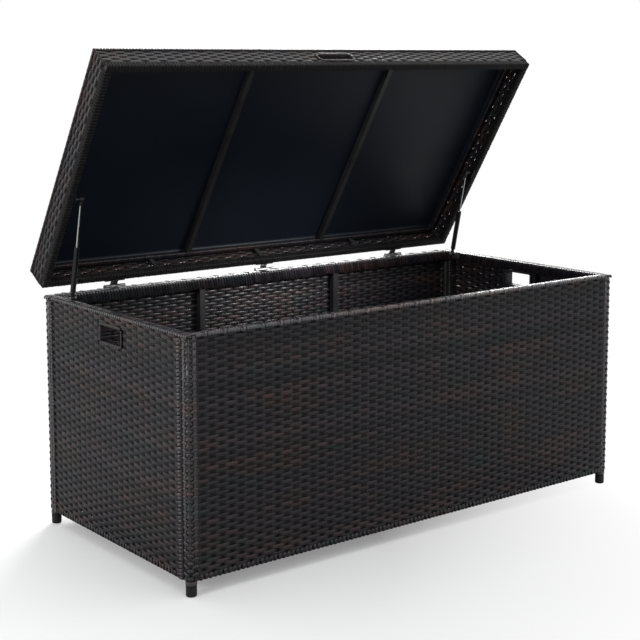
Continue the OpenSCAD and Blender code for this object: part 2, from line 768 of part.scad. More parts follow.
// plastic end with the eye; up is +1 when the neck points up from the eye
module strut_end(bore_r, up, neck)
    difference() {
        union() {
            x_rod(eye_r, -eye_t / 2, eye_t / 2);
            translate([0, 0, up > 0 ? 0 : -neck]) cylinder(r = neck_r, h = neck);
        }
        x_rod(bore_r, -eye_t, eye_t);
    }

module lower_end(side) color(black) at_strut(side) strut_end(stud_r + running, 1, neck_l);
module left_strut_lower_end() lower_end(-1);
module right_strut_lower_end() lower_end(1);

module strut_rod(side) color(zinc) at_strut(side)
    rotate_extrude() union() {
        translate([0, piston_top - piston_l])
            square([strut_rod_d / 2, strut_l - neck_l - piston_top + piston_l]);
        translate([0, piston_top - piston_l]) square([strut_bore_r - piston_gap, piston_l]);
    }

module left_strut_rod() strut_rod(-1);
module right_strut_rod() strut_rod(1);

module upper_end(side) color(black)
    at_strut(side) translate([0, 0, strut_l]) strut_end(stud_r, -1, neck_l);
module left_strut_upper_end() upper_end(-1);
module right_strut_upper_end() upper_end(1);

// ---- all of it, moved so that the origin is under its middle --------------

module place() translate([0, shift_y, 0]) children();

place() front_frame();
place() back_frame();
place() left_frame();
place() right_frame();
place() front_weave();
place() back_weave();
place() left_weave();
place() right_weave();
place() front_rim();
place() back_rim();
place() left_rim();
place() right_rim();
place() corner_wraps();
place() left_hand_hole();
place() right_hand_hole();
place() floor_panel();
place() floor_bearers();
place() foot_front_left();
place() foot_front_right();
place() foot_back_left();
place() foot_back_right();
place() panel_bolts();
place() panel_nuts();
place() left_hinge_box_leaf();
place() centre_hinge_box_leaf();
place() right_hinge_box_leaf();
place() hinge_pins();
place() hinge_box_screws();
place() left_hinge_lid_leaf();
place() centre_hinge_lid_leaf();
place() right_hinge_lid_leaf();
place() hinge_lid_screws();
place() lid_frame();
place() lid_left_crossbar();
place() lid_right_crossbar();
place() lid_top_weave();
place() lid_front_weave();
place() lid_back_weave();
place() lid_left_weave();
place() lid_right_weave();
place() lid_binding();
place() lid_liner();
place() lid_grip();
place() left_strut_box_bracket();
place() right_strut_box_bracket();
place() strut_box_screws();
place() left_strut_lid_bracket();
place() right_strut_lid_bracket();
place() strut_lid_screws();
place() left_strut_tube();
place() right_strut_tube();
place() left_strut_lower_end();
place() right_strut_lower_end();
place() left_strut_rod();
place() right_strut_rod();
place() left_strut_upper_end();
place() right_strut_upper_end();
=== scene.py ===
# Deck storage box: woven strands, braided corners, wrapped edges and a stretched liner over the steel frame.
import bpy
import json
import math
import numpy as np
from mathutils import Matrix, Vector


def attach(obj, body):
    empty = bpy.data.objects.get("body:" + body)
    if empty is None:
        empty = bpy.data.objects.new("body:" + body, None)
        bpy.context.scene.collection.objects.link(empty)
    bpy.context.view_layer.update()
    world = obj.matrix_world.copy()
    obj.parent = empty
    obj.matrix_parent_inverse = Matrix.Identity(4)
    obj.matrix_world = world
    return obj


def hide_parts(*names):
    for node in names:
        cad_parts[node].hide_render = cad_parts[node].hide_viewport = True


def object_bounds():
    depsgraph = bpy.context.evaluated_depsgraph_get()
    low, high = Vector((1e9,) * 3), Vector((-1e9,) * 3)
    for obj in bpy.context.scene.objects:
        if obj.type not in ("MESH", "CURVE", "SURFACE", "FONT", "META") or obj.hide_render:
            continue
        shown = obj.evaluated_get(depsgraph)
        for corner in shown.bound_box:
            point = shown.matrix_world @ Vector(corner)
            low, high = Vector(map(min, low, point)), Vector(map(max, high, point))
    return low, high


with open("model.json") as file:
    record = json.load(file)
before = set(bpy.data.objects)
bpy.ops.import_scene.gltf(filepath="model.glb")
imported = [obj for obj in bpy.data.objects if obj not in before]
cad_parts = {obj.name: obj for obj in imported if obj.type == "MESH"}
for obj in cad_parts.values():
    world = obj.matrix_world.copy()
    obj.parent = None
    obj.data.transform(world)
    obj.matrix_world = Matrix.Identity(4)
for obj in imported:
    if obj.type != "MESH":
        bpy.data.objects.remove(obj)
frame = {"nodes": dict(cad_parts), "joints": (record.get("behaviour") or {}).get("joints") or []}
cadLow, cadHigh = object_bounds()
cadNodes = frame["nodes"]
chance = np.random.default_rng(11)
print("frame loaded:", len(cadNodes), "nodes")

lidJoint = [j for j in frame["joints"] if j["name"] == "lid_hinge"][0]
lidPivot = np.array(lidJoint["pos_m"])
lidAngle = math.radians(lidJoint["range_deg"][1])


# lid pieces are laid out shut, then turned to where the lid stands open
def turnLid(points, angle):
    p = np.asarray(points, float) - lidPivot
    c, s = math.cos(angle), math.sin(angle)
    turned = np.stack([p[..., 0], p[..., 1] * c - p[..., 2] * s, p[..., 1] * s + p[..., 2] * c], -1)
    return turned + lidPivot


def openLid(points):
    return turnLid(points, -lidAngle)


def nodeBox(name, shut=False):
    points = np.array([v.co for v in cadNodes[name].data.vertices])
    if shut:
        points = turnLid(points, lidAngle)
    return points.min(0), points.max(0)


def newGroup(name, inputs, outputs):
    group = bpy.data.node_groups.new(name, "ShaderNodeTree")
    for label, kind, value in inputs:
        socket = group.interface.new_socket(label, in_out="INPUT", socket_type="NodeSocket" + kind)
        socket.default_value = value
    for label, kind in outputs:
        group.interface.new_socket(label, in_out="OUTPUT", socket_type="NodeSocket" + kind)
    return group, group.nodes.new("NodeGroupInput"), group.nodes.new("NodeGroupOutput")


def addNode(tree, kind, settings=None, **values):
    node = tree.nodes.new("ShaderNode" + kind)
    for key, value in (settings or {}).items():
        setattr(node, key, value)
    for key, value in values.items():
        numbered = key[0] == "i" and key[1:].isdigit()  # i3 is the fourth input
        plug(tree, value, node.inputs[int(key[1:]) if numbered else key])
    return node


# joins a socket to another, or sets it to a plain value
def plug(tree, source, target):
    if isinstance(source, bpy.types.NodeSocket):
        tree.links.new(source, target)
    else:
        target.default_value = source


def doMath(tree, operation, a, b=0.0):
    return addNode(tree, "Math", {"operation": operation}, i0=a, i1=b).outputs[0]


def doVector(tree, operation, a, b):
    return addNode(tree, "VectorMath", {"operation": operation}, i0=a, i1=b)


def makeNoise(tree, where, scale, detail):
    return addNode(tree, "TexNoise", None, Vector=where, Scale=scale, Detail=detail).outputs["Fac"]


def mixColour(tree, amount, a, b):
    node = addNode(tree, "Mix", {"data_type": "RGBA"}, i0=amount, i6=a, i7=b)
    return node.outputs[2]


def fitRange(tree, value, low, high, toLow=0.0, toHigh=1.0):
    return addNode(tree, "MapRange", None, i0=value, i1=low, i2=high, i3=toLow, i4=toHigh).outputs[0]


strandShadeLook = dict(
    stretch=(0.7, 0.7, 1.9), coolShift=(3.1, 7.7, 1.3), patchDetail=3.0,
    warmTone=0.12, warmFrom=0.52, warmTo=0.74, coolTone=0.10, coolFrom=0.46, coolTo=0.72, coolShare=0.75,
    darkestStrand=0.58, lightestStrand=1.45, paintedEdgeShade=0.10, paintedCrownLight=1.36,
    ribStretch=(0.06, 9.0, 1.0), ribDetail=2.0, pitScale=900.0, pitShare=0.25,
    smooth=0.22, dull=0.42, edgeDull=0.35)


def makeStrandShade():
    look = strandShadeLook
    colour = ("Color", (0.02, 0.02, 0.02, 1))
    group, gin, gout = newGroup(
        "strandShade",
        [("Dark", *colour), ("Warm", *colour), ("Cool", *colour), ("Patch Scale", "Float", 7.0)],
        [("Colour", "Color"), ("Roughness", "Float"), ("Height", "Float")])
    where = addNode(group, "TexCoord").outputs["Object"]
    tone = addNode(group, "Attribute", {"attribute_name": "tone"}).outputs["Fac"]
    stretched = doVector(group, "MULTIPLY", where, look["stretch"]).outputs[0]
    patchScale = gin.outputs["Patch Scale"]
    warmSpot = makeNoise(group, stretched, patchScale, look["patchDetail"])
    shifted = doVector(group, "ADD", stretched, look["coolShift"]).outputs[0]
    coolSpot = makeNoise(group, shifted, patchScale, look["patchDetail"])
    warmTone = doMath(group, "MULTIPLY", tone, look["warmTone"])
    warm = doMath(group, "ADD", warmSpot, warmTone)
    warm = fitRange(group, warm, look["warmFrom"], look["warmTo"])
    coolTone = doMath(group, "MULTIPLY", tone, look["coolTone"])
    cool = doMath(group, "SUBTRACT", coolSpot, coolTone)
    cool = fitRange(group, cool, look["coolFrom"], look["coolTo"])
    shade = mixColour(group, warm, gin.outputs["Dark"], gin.outputs["Warm"])
    shade = mixColour(group, doMath(group, "MULTIPLY", cool, look["coolShare"]), shade, gin.outputs["Cool"])
    # each strand is dyed a little lighter or darker than the next
    lightness = fitRange(group, tone, 0.0, 1.0, look["darkestStrand"], look["lightestStrand"])
    # and gets painted shade at its edges and where it dives under a stake, and painted light where it stands out
    crown = addNode(group, "Attribute", {"attribute_name": "crown"}).outputs["Fac"]
    paintedRelief = fitRange(group, crown, -1.0, 0.0, look["paintedEdgeShade"], look["paintedCrownLight"])
    lightness = doMath(group, "MULTIPLY", lightness, paintedRelief)
    shade = addNode(group, "VectorMath", {"operation": "SCALE"}, i0=shade, Scale=lightness).outputs[0]
    run = addNode(group, "UVMap", {"uv_map": "strandRun"}).outputs["UV"]
    ribRun = doVector(group, "MULTIPLY", run, look["ribStretch"]).outputs[0]
    ribs = makeNoise(group, ribRun, 1.0, look["ribDetail"])
    pits = makeNoise(group, where, look["pitScale"], 1.0)
    rough = fitRange(group, ribs, 0.25, 0.75, look["smooth"], look["dull"])
    rough = doMath(group, "ADD", rough, fitRange(group, crown, -0.9, 0.3, look["edgeDull"], 0.0))
    pitHeight = doMath(group, "MULTIPLY", pits, look["pitShare"])
    height = doMath(group, "ADD", ribs, pitHeight)
    plug(group, shade, gout.inputs["Colour"])
    plug(group, rough, gout.inputs["Roughness"])
    plug(group, height, gout.inputs["Height"])
    return group


def makeEdgeWear():
    group, gin, gout = newGroup(
        "edgeWear",
        [("Amount", "Float", 0.5), ("Scale", "Float", 90.0)],
        [("Mask", "Float")])
    point = addNode(group, "NewGeometry").outputs["Pointiness"]
    where = addNode(group, "TexCoord").outputs["Object"]
    breakup = makeNoise(group, where, gin.outputs["Scale"], 4.0)
    edge = fitRange(group, point, 0.53, 0.60)
    worn = doMath(group, "MULTIPLY", edge, fitRange(group, breakup, 0.42, 0.62))
    plug(group, doMath(group, "MULTIPLY", worn, gin.outputs["Amount"]), gout.inputs["Mask"])
    return group


def makeFineGrain():
    group, gin, gout = newGroup(
        "fineGrain",
        [("Scale", "Float", 600.0), ("Blotch Scale", "Float", 14.0)],
        [("Height", "Float"), ("Blotch", "Float")])
    where = addNode(group, "TexCoord").outputs["Object"]
    fine = makeNoise(group, where, gin.outputs["Scale"], 2.0)
    blotch = makeNoise(group, where, gin.outputs["Blotch Scale"], 4.0)
    plug(group, fine, gout.inputs["Height"])
    plug(group, fitRange(group, blotch, 0.35, 0.65), gout.inputs["Blotch"])
    return group


def makeSettledDust():
    group, gin, gout = newGroup("settledDust", [("Amount", "Float", 0.3)], [("Mask", "Float")])
    normal = addNode(group, "NewGeometry").outputs["Normal"]
    up = addNode(group, "SeparateXYZ", None, i0=normal).outputs["Z"]
    where = addNode(group, "TexCoord").outputs["Object"]
    patch = makeNoise(group, where, 35.0, 5.0)
    lies = doMath(group, "MULTIPLY", fitRange(group, up, 0.3, 0.95), fitRange(group, patch, 0.40, 0.70))
    plug(group, doMath(group, "MULTIPLY", lies, gin.outputs["Amount"]), gout.inputs["Mask"])
    return group


strandShade = makeStrandShade()
edgeWear = makeEdgeWear()
fineGrain = makeFineGrain()
settledDust = makeSettledDust()


def newMaterial(name, **shaderValues):
    material = bpy.data.materials.new(name)
    material.use_nodes = True
    shader = material.node_tree.nodes["Principled BSDF"]
    for label, value in shaderValues.items():
        shader.inputs[label.replace("_", " ")].default_value = value
    return material, material.node_tree, shader


def useGroup(tree, group, values=None):
    node = tree.nodes.new("ShaderNodeGroup")
    node.node_tree = group
    for label, value in (values or {}).items():
        plug(tree, value, node.inputs[label])
    return node


def bump(tree, height, strength, distance):
    return addNode(tree, "Bump", None, Strength=strength, Distance=distance, Height=height).outputs[0]


strandLook = dict(
    dark=(0.0150, 0.0125, 0.0165, 1), warm=(0.0280, 0.0165, 0.0152, 1), cool=(0.0105, 0.0190, 0.0195, 1),
    patchScale=9.0, specular=0.42, coatRough=0.18, ribBump=0.22, ribDepth=0.0008,
    dustAmount=0.10, dust=(0.16, 0.15, 0.14, 1))


# the first number scales the strand's colour: above one it is painted light, below one painted shade
def makeStrandMaterial(name, lift=1.0, coat=0.0, gloss=1.0):
    look = strandLook
    specular = look["specular"] * gloss
    material, tree, shader = newMaterial(name, Specular_IOR_Level=specular, Coat_Roughness=look["coatRough"])
    shader.inputs["Coat Weight"].default_value = coat
    tints = {k.capitalize(): tuple(c * lift for c in look[k][:3]) + (1,) for k in ("dark", "warm", "cool")}
    shade = useGroup(tree, strandShade, {**tints, "Patch Scale": look["patchScale"]})
    dust = useGroup(tree, settledDust, {"Amount": look["dustAmount"]})
    colour = mixColour(tree, dust.outputs["Mask"], shade.outputs["Colour"], look["dust"])
    plug(tree, colour, shader.inputs["Base Color"])
    plug(tree, shade.outputs["Roughness"], shader.inputs["Roughness"])
    ribbed = bump(tree, shade.outputs["Height"], look["ribBump"], look["ribDepth"])
    plug(tree, ribbed, shader.inputs["Normal"])
    return material


def makeGrainMaterial(name, colour, second, rough, metal=0.0, grain=600.0, depth=0.0002, wear=0.0,
                      wornColour=(0.35, 0.34, 0.33, 1), specular=0.5, dustAmount=0.1, strength=0.3):
    material, tree, shader = newMaterial(name, Specular_IOR_Level=specular)
    texture = useGroup(tree, fineGrain, {"Scale": grain})
    base = mixColour(tree, texture.outputs["Blotch"], colour, second)
    if wear:
        worn = useGroup(tree, edgeWear, {"Amount": wear})
        base = mixColour(tree, worn.outputs["Mask"], base, wornColour)
    dust = useGroup(tree, settledDust, {"Amount": dustAmount})
    base = mixColour(tree, dust.outputs["Mask"], base, (0.20, 0.19, 0.18, 1))
    plug(tree, base, shader.inputs["Base Color"])
    dullness = fitRange(tree, texture.outputs["Blotch"], 0.0, 1.0, rough[0], rough[1])
    plug(tree, dullness, shader.inputs["Roughness"])
    plug(tree, metal, shader.inputs["Metallic"])
    plug(tree, bump(tree, texture.outputs["Height"], strength, depth), shader.inputs["Normal"])
    return material


clothLook = dict(dark=(0.0042, 0.0080, 0.0155, 1), light=(0.0064, 0.0105, 0.0185, 1), cloudScale=2.6,
                 warp=5200.0, weft=6100.0, threadBump=0.10, threadDepth=0.0002,
                 sheen=0.02, sheenRough=0.5, specular=0.28)


# a smooth laminated cloth: a fine square thread under a soft sheen
def makeLinerMaterial():
    look = clothLook
    material, tree, shader = newMaterial("linerCloth", Sheen_Weight=look["sheen"],
                                         Sheen_Roughness=look["sheenRough"], Specular_IOR_Level=look["specular"])
    where = addNode(tree, "TexCoord").outputs["Object"]
    parts = addNode(tree, "SeparateXYZ", None, i0=where)
    warp = doMath(tree, "SINE", doMath(tree, "MULTIPLY", parts.outputs["X"], look["warp"]))
    weft = doMath(tree, "SINE", doMath(tree, "MULTIPLY", parts.outputs["Z"], look["weft"]))
    thread = doMath(tree, "MULTIPLY", warp, weft)
    cloud = makeNoise(tree, where, look["cloudScale"], 3.0)
    dye = mixColour(tree, fitRange(tree, cloud, 0.35, 0.70), look["dark"], look["light"])
    plug(tree, dye, shader.inputs["Base Color"])
    plug(tree, fitRange(tree, cloud, 0.3, 0.7, 0.42, 0.52), shader.inputs["Roughness"])
    plug(tree, bump(tree, thread, look["threadBump"], look["threadDepth"]), shader.inputs["Normal"])
    return material


strandMaterial = makeStrandMaterial("wovenStrand")
# the rim, fold and corner strands are a lighter copy of the strand, as painted light
rimPaintedLightMaterial = makeStrandMaterial("rimStrandPaintedLight", 1.35, 0.9)
# the stakes are a darker copy, painted shade for where they lie behind the rows
stakePaintedShadeMaterial = makeStrandMaterial("stakeStrandPaintedShade", 0.7, 0.0, 0.3)
# the rim ties are a much lighter copy, a painted highlight
tiePaintedHighlightMaterial = makeStrandMaterial("tieStrandPaintedHighlight", 3.4, 0.9)
linerMaterial = makeLinerMaterial()
framePaint = makeGrainMaterial(
    "powderCoat", (0.018, 0.018, 0.020, 1), (0.027, 0.027, 0.029, 1), (0.36, 0.46),
    grain=1500.0, depth=0.0004)
floorPlastic = makeGrainMaterial(
    "floorSheet", (0.010, 0.010, 0.011, 1), (0.018, 0.017, 0.017, 1), (0.45, 0.65),
    grain=420.0, depth=0.0006, dustAmount=0.35)
footPlastic = makeGrainMaterial(
    "footNylon", (0.006, 0.006, 0.007, 1), (0.010, 0.010, 0.011, 1), (0.30, 0.42),
    grain=1100.0, depth=0.0002, wear=0.2, wornColour=(0.05, 0.05, 0.05, 1))
zincPlate = makeGrainMaterial(
    "zincPlate", (0.58, 0.58, 0.57, 1), (0.44, 0.45, 0.47, 1), (0.22, 0.38),
    metal=1.0, grain=260.0, depth=0.0002, wear=0.2, wornColour=(0.75, 0.74, 0.70, 1))
hingeSteel = makeGrainMaterial(
    "hingeSteel", (0.13, 0.13, 0.135, 1), (0.08, 0.08, 0.085, 1), (0.28, 0.42),
    metal=1.0, grain=300.0, depth=0.0002, wear=0.5, wornColour=(0.55, 0.54, 0.52, 1))
chromeRod = makeGrainMaterial(
    "chromeRod", (0.78, 0.79, 0.80, 1), (0.70, 0.71, 0.73, 1), (0.06, 0.14),
    metal=1.0, grain=900.0, depth=0.00005, dustAmount=0.03, strength=0.1)
strutEnamel = makeGrainMaterial(
    "strutEnamel", (0.008, 0.009, 0.011, 1), (0.014, 0.015, 0.018, 1), (0.20, 0.32),
    grain=800.0, depth=0.0001)
strutNylon = makeGrainMaterial(
    "strutNylon", (0.007, 0.007, 0.008, 1), (0.012, 0.012, 0.012, 1), (0.38, 0.52),
    grain=1000.0, depth=0.0002)

slotMaterials = {
    "frame_paint": framePaint, "floor_sheet": floorPlastic, "foot_plastic": footPlastic, "zinc": zincPlate,
    "hinge_steel": hingeSteel, "strut_black": strutEnamel, "strut_chrome": chromeRod, "strut_plastic": strutNylon}
# the first word found in a node's name gives its finish
nodeSlots = {
    "_frame": "frame_paint", "crossbar": "frame_paint", "bearers": "frame_paint", "floor_panel": "floor_sheet",
    "strut_lid_": "strut_black", "foot_": "foot_plastic", "bolts": "zinc", "nuts": "zinc", "screws": "zinc",
    "hinge": "hinge_steel", "bracket": "zinc",
    "strut_tube": "strut_black", "strut_rod": "strut_chrome", "er_end": "strut_plastic"}


def finishCadNodes():
    for name, piece in cadNodes.items():
        for part, slotName in nodeSlots.items():
            if part in name:
                piece.data.materials.clear()
                piece.data.materials.append(slotMaterials[slotName])
                break


finishCadNodes()
print("materials made")


strandSize = dict(width=0.0108, looseWidth=0.0105, thick=0.0018, stakeWidth=0.0056, stakeThick=0.0013,
                  rowPitch=0.0095, stakePitch=0.0275, swing=0.0010, depth=0.0016,
                  unevenness=0.00018, sway=0.00012, looseSway=0.00042, lapOver=0.0018,
                  widthSpread=0.02, flatness=1.35, edgeCrown=-0.35)
# strands wound over edges stand apart a little more and are rounder
turnSize = dict(width=0.0082, thick=0.0019)
# half a turn round a flat strand, across then out, as shares of its width and thickness
strandSection = np.array([(-0.5, 0), (-0.37, 0.5), (0.37, 0.5), (0.5, 0), (0.37, -0.5), (-0.37, -0.5)])


def unit(v):
    return v / np.maximum(np.linalg.norm(v, axis=-1, keepdims=True), 1e-9)


# one mesh of flat strands. groups is a list of (points, outs) or (points, outs, crown): points and
# their outward normals are strands by samples by 3, crown is how far each stands out, -1 to 1
def strandMesh(name, groups, width, thick, place=None):
    corners = len(strandSection)
    total = sum(len(group[0]) for group in groups)
    runs = [np.linalg.norm(np.diff(group[0], axis=1), axis=2).sum(1).mean() for group in groups]
    meanRun = np.mean(runs)
    columns = max(1, round(math.sqrt(total * 2 * (width + thick) / meanRun)))
    lines = math.ceil(total / columns)
    verts, faces, bakeUv, runUv, tones, crowns = [], [], [], [], [], []
    made, first = 0, 0
    facing = np.array([0, 1, 1, 0, -1, -1])
    for points, outs, *given in groups:
        count, samples = points.shape[:2]
        crown = (given[0] if given else np.ones((count, samples)))[:, :, None] * facing
        # edges get a low crown, which the strand shader darkens as painted shade
        crowns.append(np.where(facing == 0, strandSize["edgeCrown"], crown).ravel())
        tangent = unit(np.gradient(points, axis=1))
        side = unit(np.cross(tangent, outs))
        out = np.cross(side, tangent)
        wide = width * (1 + strandSize["widthSpread"] * chance.standard_normal((count, 1, 1, 1)))
        across = strandSection[:, 0][:, None] * wide
        section = strandSection[:, 1][:, None]
        ring = points[:, :, None] + side[:, :, None] * across + out[:, :, None] * section * thick
        verts.append(ring.reshape(-1, 3))
        index = first + np.arange(count * samples * corners).reshape(count, samples, corners)
        a, b = index[:, :-1], index[:, 1:]
        quads = np.stack([a, np.roll(a, -1, 2), np.roll(b, -1, 2), b], -1).reshape(-1, 4)
        faces += quads.tolist() + index[:, 0, ::-1].tolist() + index[:, -1].tolist()
        # where each strand lies on the sheet of baked colour: its own cell, its length along it
        number = made + np.arange(count)
        cellU, cellV = number % columns, number // columns
        along = np.linspace(0.02, 0.98, samples)
        around = np.linspace(0.06, 0.94, corners + 1)
        u0 = (cellU[:, None, None] + along[None, :-1, None] + 0 * around[None, None, :-1]) / columns
        u1 = (cellU[:, None, None] + along[None, 1:, None] + 0 * around[None, None, :-1]) / columns
        v0 = (cellV[:, None, None] + around[None, None, :-1] + 0 * along[None, :-1, None]) / lines
        v1 = (cellV[:, None, None] + around[None, None, 1:] + 0 * along[None, :-1, None]) / lines
        bakeUv.append(np.stack([u0, v0, u0, v1, u1, v1, u1, v0], -1).reshape(-1, 2))
        walked = np.cumsum(np.linalg.norm(np.diff(points, axis=1), axis=2), 1)
        run = np.concatenate([np.zeros((count, 1)), walked], 1) * 1000
        run = run + chance.uniform(0, 5000, (count, 1))
        r0 = run[:, :-1, None] + 0 * around[None, None, :-1]
        r1 = run[:, 1:, None] + 0 * around[None, None, :-1]
        k0 = number[:, None, None] * 1.37 + around[None, None, :-1] + 0 * along[None, :-1, None]
        k1 = number[:, None, None] * 1.37 + around[None, None, 1:] + 0 * along[None, :-1, None]
        runUv.append(np.stack([r0, k0, r0, k1, r1, k1, r1, k0], -1).reshape(-1, 2))
        for end, share in ((0, along[0]), (-1, along[-1])):
            capU = np.repeat((cellU[:, None] + share) / columns, corners, 1)
            capV = (cellV[:, None] + around[None, :-1]) / lines
            bakeUv.append(np.stack([capU, capV], -1).reshape(-1, 2))
            runUv.append(np.stack([np.repeat(run[:, end:][:, :1], corners, 1), capV], -1).reshape(-1, 2))
        tones.append(np.repeat(chance.uniform(0, 1, count), samples * corners))
        made += count
        first += count * samples * corners
    mesh = bpy.data.meshes.new(name)
    co = np.concatenate(verts)
    mesh.from_pydata(place(co) if place else co, [], faces)
    mesh.shade_smooth()
    for label, values in (("OFBake", bakeUv), ("strandRun", runUv)):
        layer = mesh.uv_layers.new(name=label)
        layer.data.foreach_set("uv", np.concatenate(values).astype(np.float32).ravel())
    for label, values in (("tone", tones), ("crown", crowns)):
        layer = mesh.attributes.new(label, "FLOAT", "POINT")
        layer.data.foreach_set("value", np.concatenate(values).astype(np.float32))
    return mesh


def addPiece(name, mesh, material, body, stands=()):
    piece = bpy.data.objects.new(name, mesh)
    bpy.context.scene.collection.objects.link(piece)
    mesh.materials.append(material)
    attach(piece, body)
    if stands:
        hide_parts(*stands)
    return piece


def addStrands(name, groups, body, material=None, stands=(), place=None, width=None, thick=None):
    mesh = strandMesh(name, groups, width or strandSize["width"], thick or strandSize["thick"], place)
    return addPiece(name, mesh, material or strandMaterial, body, stands)


def addStakes(name, groups, body, place=None):
    width, thick = strandSize["stakeWidth"], strandSize["stakeThick"]
    return addStrands(name, groups, body, stakePaintedShadeMaterial, place=place, width=width, thick=thick)


# a flat woven panel: origin is a corner of its outer face, across and up its sides, out its outward normal
def weavePanel(origin, across, up, out, size, hole=None, rowRange=None, sway=None):
    origin, across, up, out = (np.array(v, float) for v in (origin, across, up, out))
    stakes = max(2, round(size[0] / strandSize["stakePitch"]))
    rows = max(1, math.ceil(size[1] / strandSize["rowPitch"] - 0.3))
    pitch, rise = size[0] / stakes, size[1] / rows
    samples = 4 * stakes + 1
    u = np.linspace(-strandSize["lapOver"], size[0] + strandSize["lapOver"], samples)
    wave = np.clip(strandSize["flatness"] * np.cos(np.pi * (u / pitch - 0.5)), -1, 1)
    groups, cut = [], {}
    share = rowRange or (0.0, 1.0)
    for r in range(round(rows * share[0]), round(rows * share[1])):
        v = (r + 0.5) * rise
        uneven = np.interp(u, np.linspace(0, size[0], stakes + 1), chance.standard_normal(stakes + 1))
        lean = (sway or strandSize["sway"]) * np.cos(np.pi * u / pitch) * (-1 if r % 2 else 1)
        height = v + uneven * strandSize["unevenness"] + lean
        crown = wave * (1 if r % 2 else -1)
        w = crown * strandSize["swing"] - strandSize["depth"]
        line = origin + u[:, None] * across + height[:, None] * up + w[:, None] * out
        line = np.column_stack([line, crown])
        if hole and hole[2] < v < hole[3]:
            left, right = line[u < hole[0]], line[u > hole[1]]
            cut.setdefault(len(left), []).append(left)
            cut.setdefault(len(right), []).append(right)
        else:
            cut.setdefault(samples, []).append(line)
    for lines in cut.values():
        lines = np.array(lines)
        groups.append((lines[:, :, :3], np.broadcast_to(out, lines[:, :, :3].shape), lines[:, :, 3]))
    stakeLines = []
    for s in range(stakes):
        x = (s + 0.5) * pitch + chance.normal() * strandSize["unevenness"]
        spans = [(0.0, size[1])]
        if hole and hole[0] < x < hole[1]:
            spans = [(0.0, hole[2]), (hole[3], size[1])]
        for low, high in spans:
            v = np.linspace(low, high, 5)[:, None]
            stakeLines.append(origin + x * across + v * up - strandSize["depth"] * out)
    stakeLines = np.array(stakeLines)
    return groups, [(stakeLines, np.broadcast_to(out, stakeLines.shape))]


# a polyline in a plane with its corners rounded, and the normal on its left or right side
def roundedRun(cornerPoints, radii, side=1, steps=3):
    corner = [np.array(c, float) for c in cornerPoints]
    points = [corner[0]]
    for i in range(1, len(corner) - 1):
        before, after = unit(corner[i - 1] - corner[i]), unit(corner[i + 1] - corner[i])
        reach = radii[i - 1]
        for t in np.linspace(0, 1, steps + 1):
            a, b = corner[i] + before * reach * (1 - t), corner[i] + after * reach * t
            points.append(a * (1 - t) + b * t)
    points.append(corner[-1])
    points = np.array(points)
    tangent = unit(np.gradient(points, axis=0))
    return points, np.stack([tangent[:, 1], -tangent[:, 0]], -1) * side


turnLook = dict(alternate=0.0003, endGap=0.002)


# strands wound over an edge: run is (points, normals) in the plane of a and b, repeated along an axis
def windAlong(origin, axis, a, b, run, length, pitch, slant=0.0, jitter=0.0):
    origin, axis, a, b = (np.array(v, float) for v in (origin, axis, a, b))
    count = max(2, round(length / pitch))
    station = (np.arange(count) + 0.5) * length / count
    points, normals = run
    place = np.concatenate([[0], np.cumsum(np.linalg.norm(np.diff(points, axis=0), axis=1))])
    share = place / place[-1]
    slide = slant * (share - 0.5)
    lift = np.where(np.arange(count) % 2 == 0, turnLook["alternate"], 0.0)
    lift = lift + jitter * chance.standard_normal(count)
    at = np.clip(station[:, None] + slide[None, :], turnLook["endGap"], length - turnLook["endGap"])
    line = origin + at[:, :, None] * axis + points[None, :, :1] * a + points[None, :, 1:] * b
    outs = np.broadcast_to(normals[:, :1] * a + normals[:, 1:] * b, line.shape)
    return [(line + outs * lift[:, None, None], outs)]


# strands wound through a hole: loop is (points, normals into the hole) in 3-D, across its outward axis
def windRound(loop, axis, depth, cover):
    points, inward = loop
    axis = np.array(axis, float)
    run, _ = roundedRun([(cover, 0), (0, 0), (0, -depth), (cover, -depth)], [0.0025, 0.0025])
    tangent = unit(np.gradient(run, axis=0))
    normal = np.stack([-tangent[:, 1], tangent[:, 0]], -1)
    line = points[:, None] - inward[:, None] * run[None, :, :1] + axis * run[None, :, 1:]
    outs = -inward[:, None] * normal[None, :, :1] + axis * normal[None, :, 1:]
    return [(line, -outs)]


frontLow, frontHigh = nodeBox("front_weave")
frontRimLow, frontRimHigh = nodeBox("front_rim")
backRimHigh = nodeBox("back_rim")[1]
rightLow, rightHigh = nodeBox("right_weave")
holeLow, holeHigh = nodeBox("right_hand_hole")
cornerLow = nodeBox("corner_wraps")[0]
wallBox = dict(
    width=rightHigh[0] * 2, front=frontRimLow[1], back=backRimHigh[1], rim=frontRimHigh[2], gap=frontLow[2],
    wall=frontRimHigh[1] - frontRimLow[1], rimDeep=frontRimHigh[2] - frontRimLow[2], collarLow=cornerLow[2],
    longHalf=frontHigh[0], endFront=rightLow[1], endBack=rightHigh[1])
foldLook = dict(pitch=0.0093, topSlant=0.016, outerDrop=0.007, edgeRadius=0.005, jitter=0.00012,
                endPitch=1.1, endSlant=0.024, endJitter=0.00015, sideTurn=0.007, sideWidth=0.0068,
                sideThick=0.0026, seam=0.0026, panelLift=0.003, panelShort=0.007)


def rimRun(outerDrop, innerDrop, wall):
    t = strandSize["thick"] / 2
    return roundedRun([(-t + 0.0002, -outerDrop), (-t + 0.0002, -t), (wall - t, -t), (wall - t, -innerDrop)],
                      [foldLook["edgeRadius"], 0.003], side=-1)


def footRun(wall):
    t = strandSize["thick"] / 2
    return roundedRun([(t - 0.0008, 0.016), (t - 0.0008, t), (wall - 0.004, t), (wall - 0.004, 0.010)],
                      [0.004, 0.004], side=1)


edgeTie = dict(step=0.055, width=0.0062, thick=0.0017, slant=0.012, rise=0.0013, drop=0.008, reach=0.015,
               edgeWidth=0.0102, edgeRise=0.0024, edgeSink=0.0020, edgeLean=0.8, jitter=0.0001)


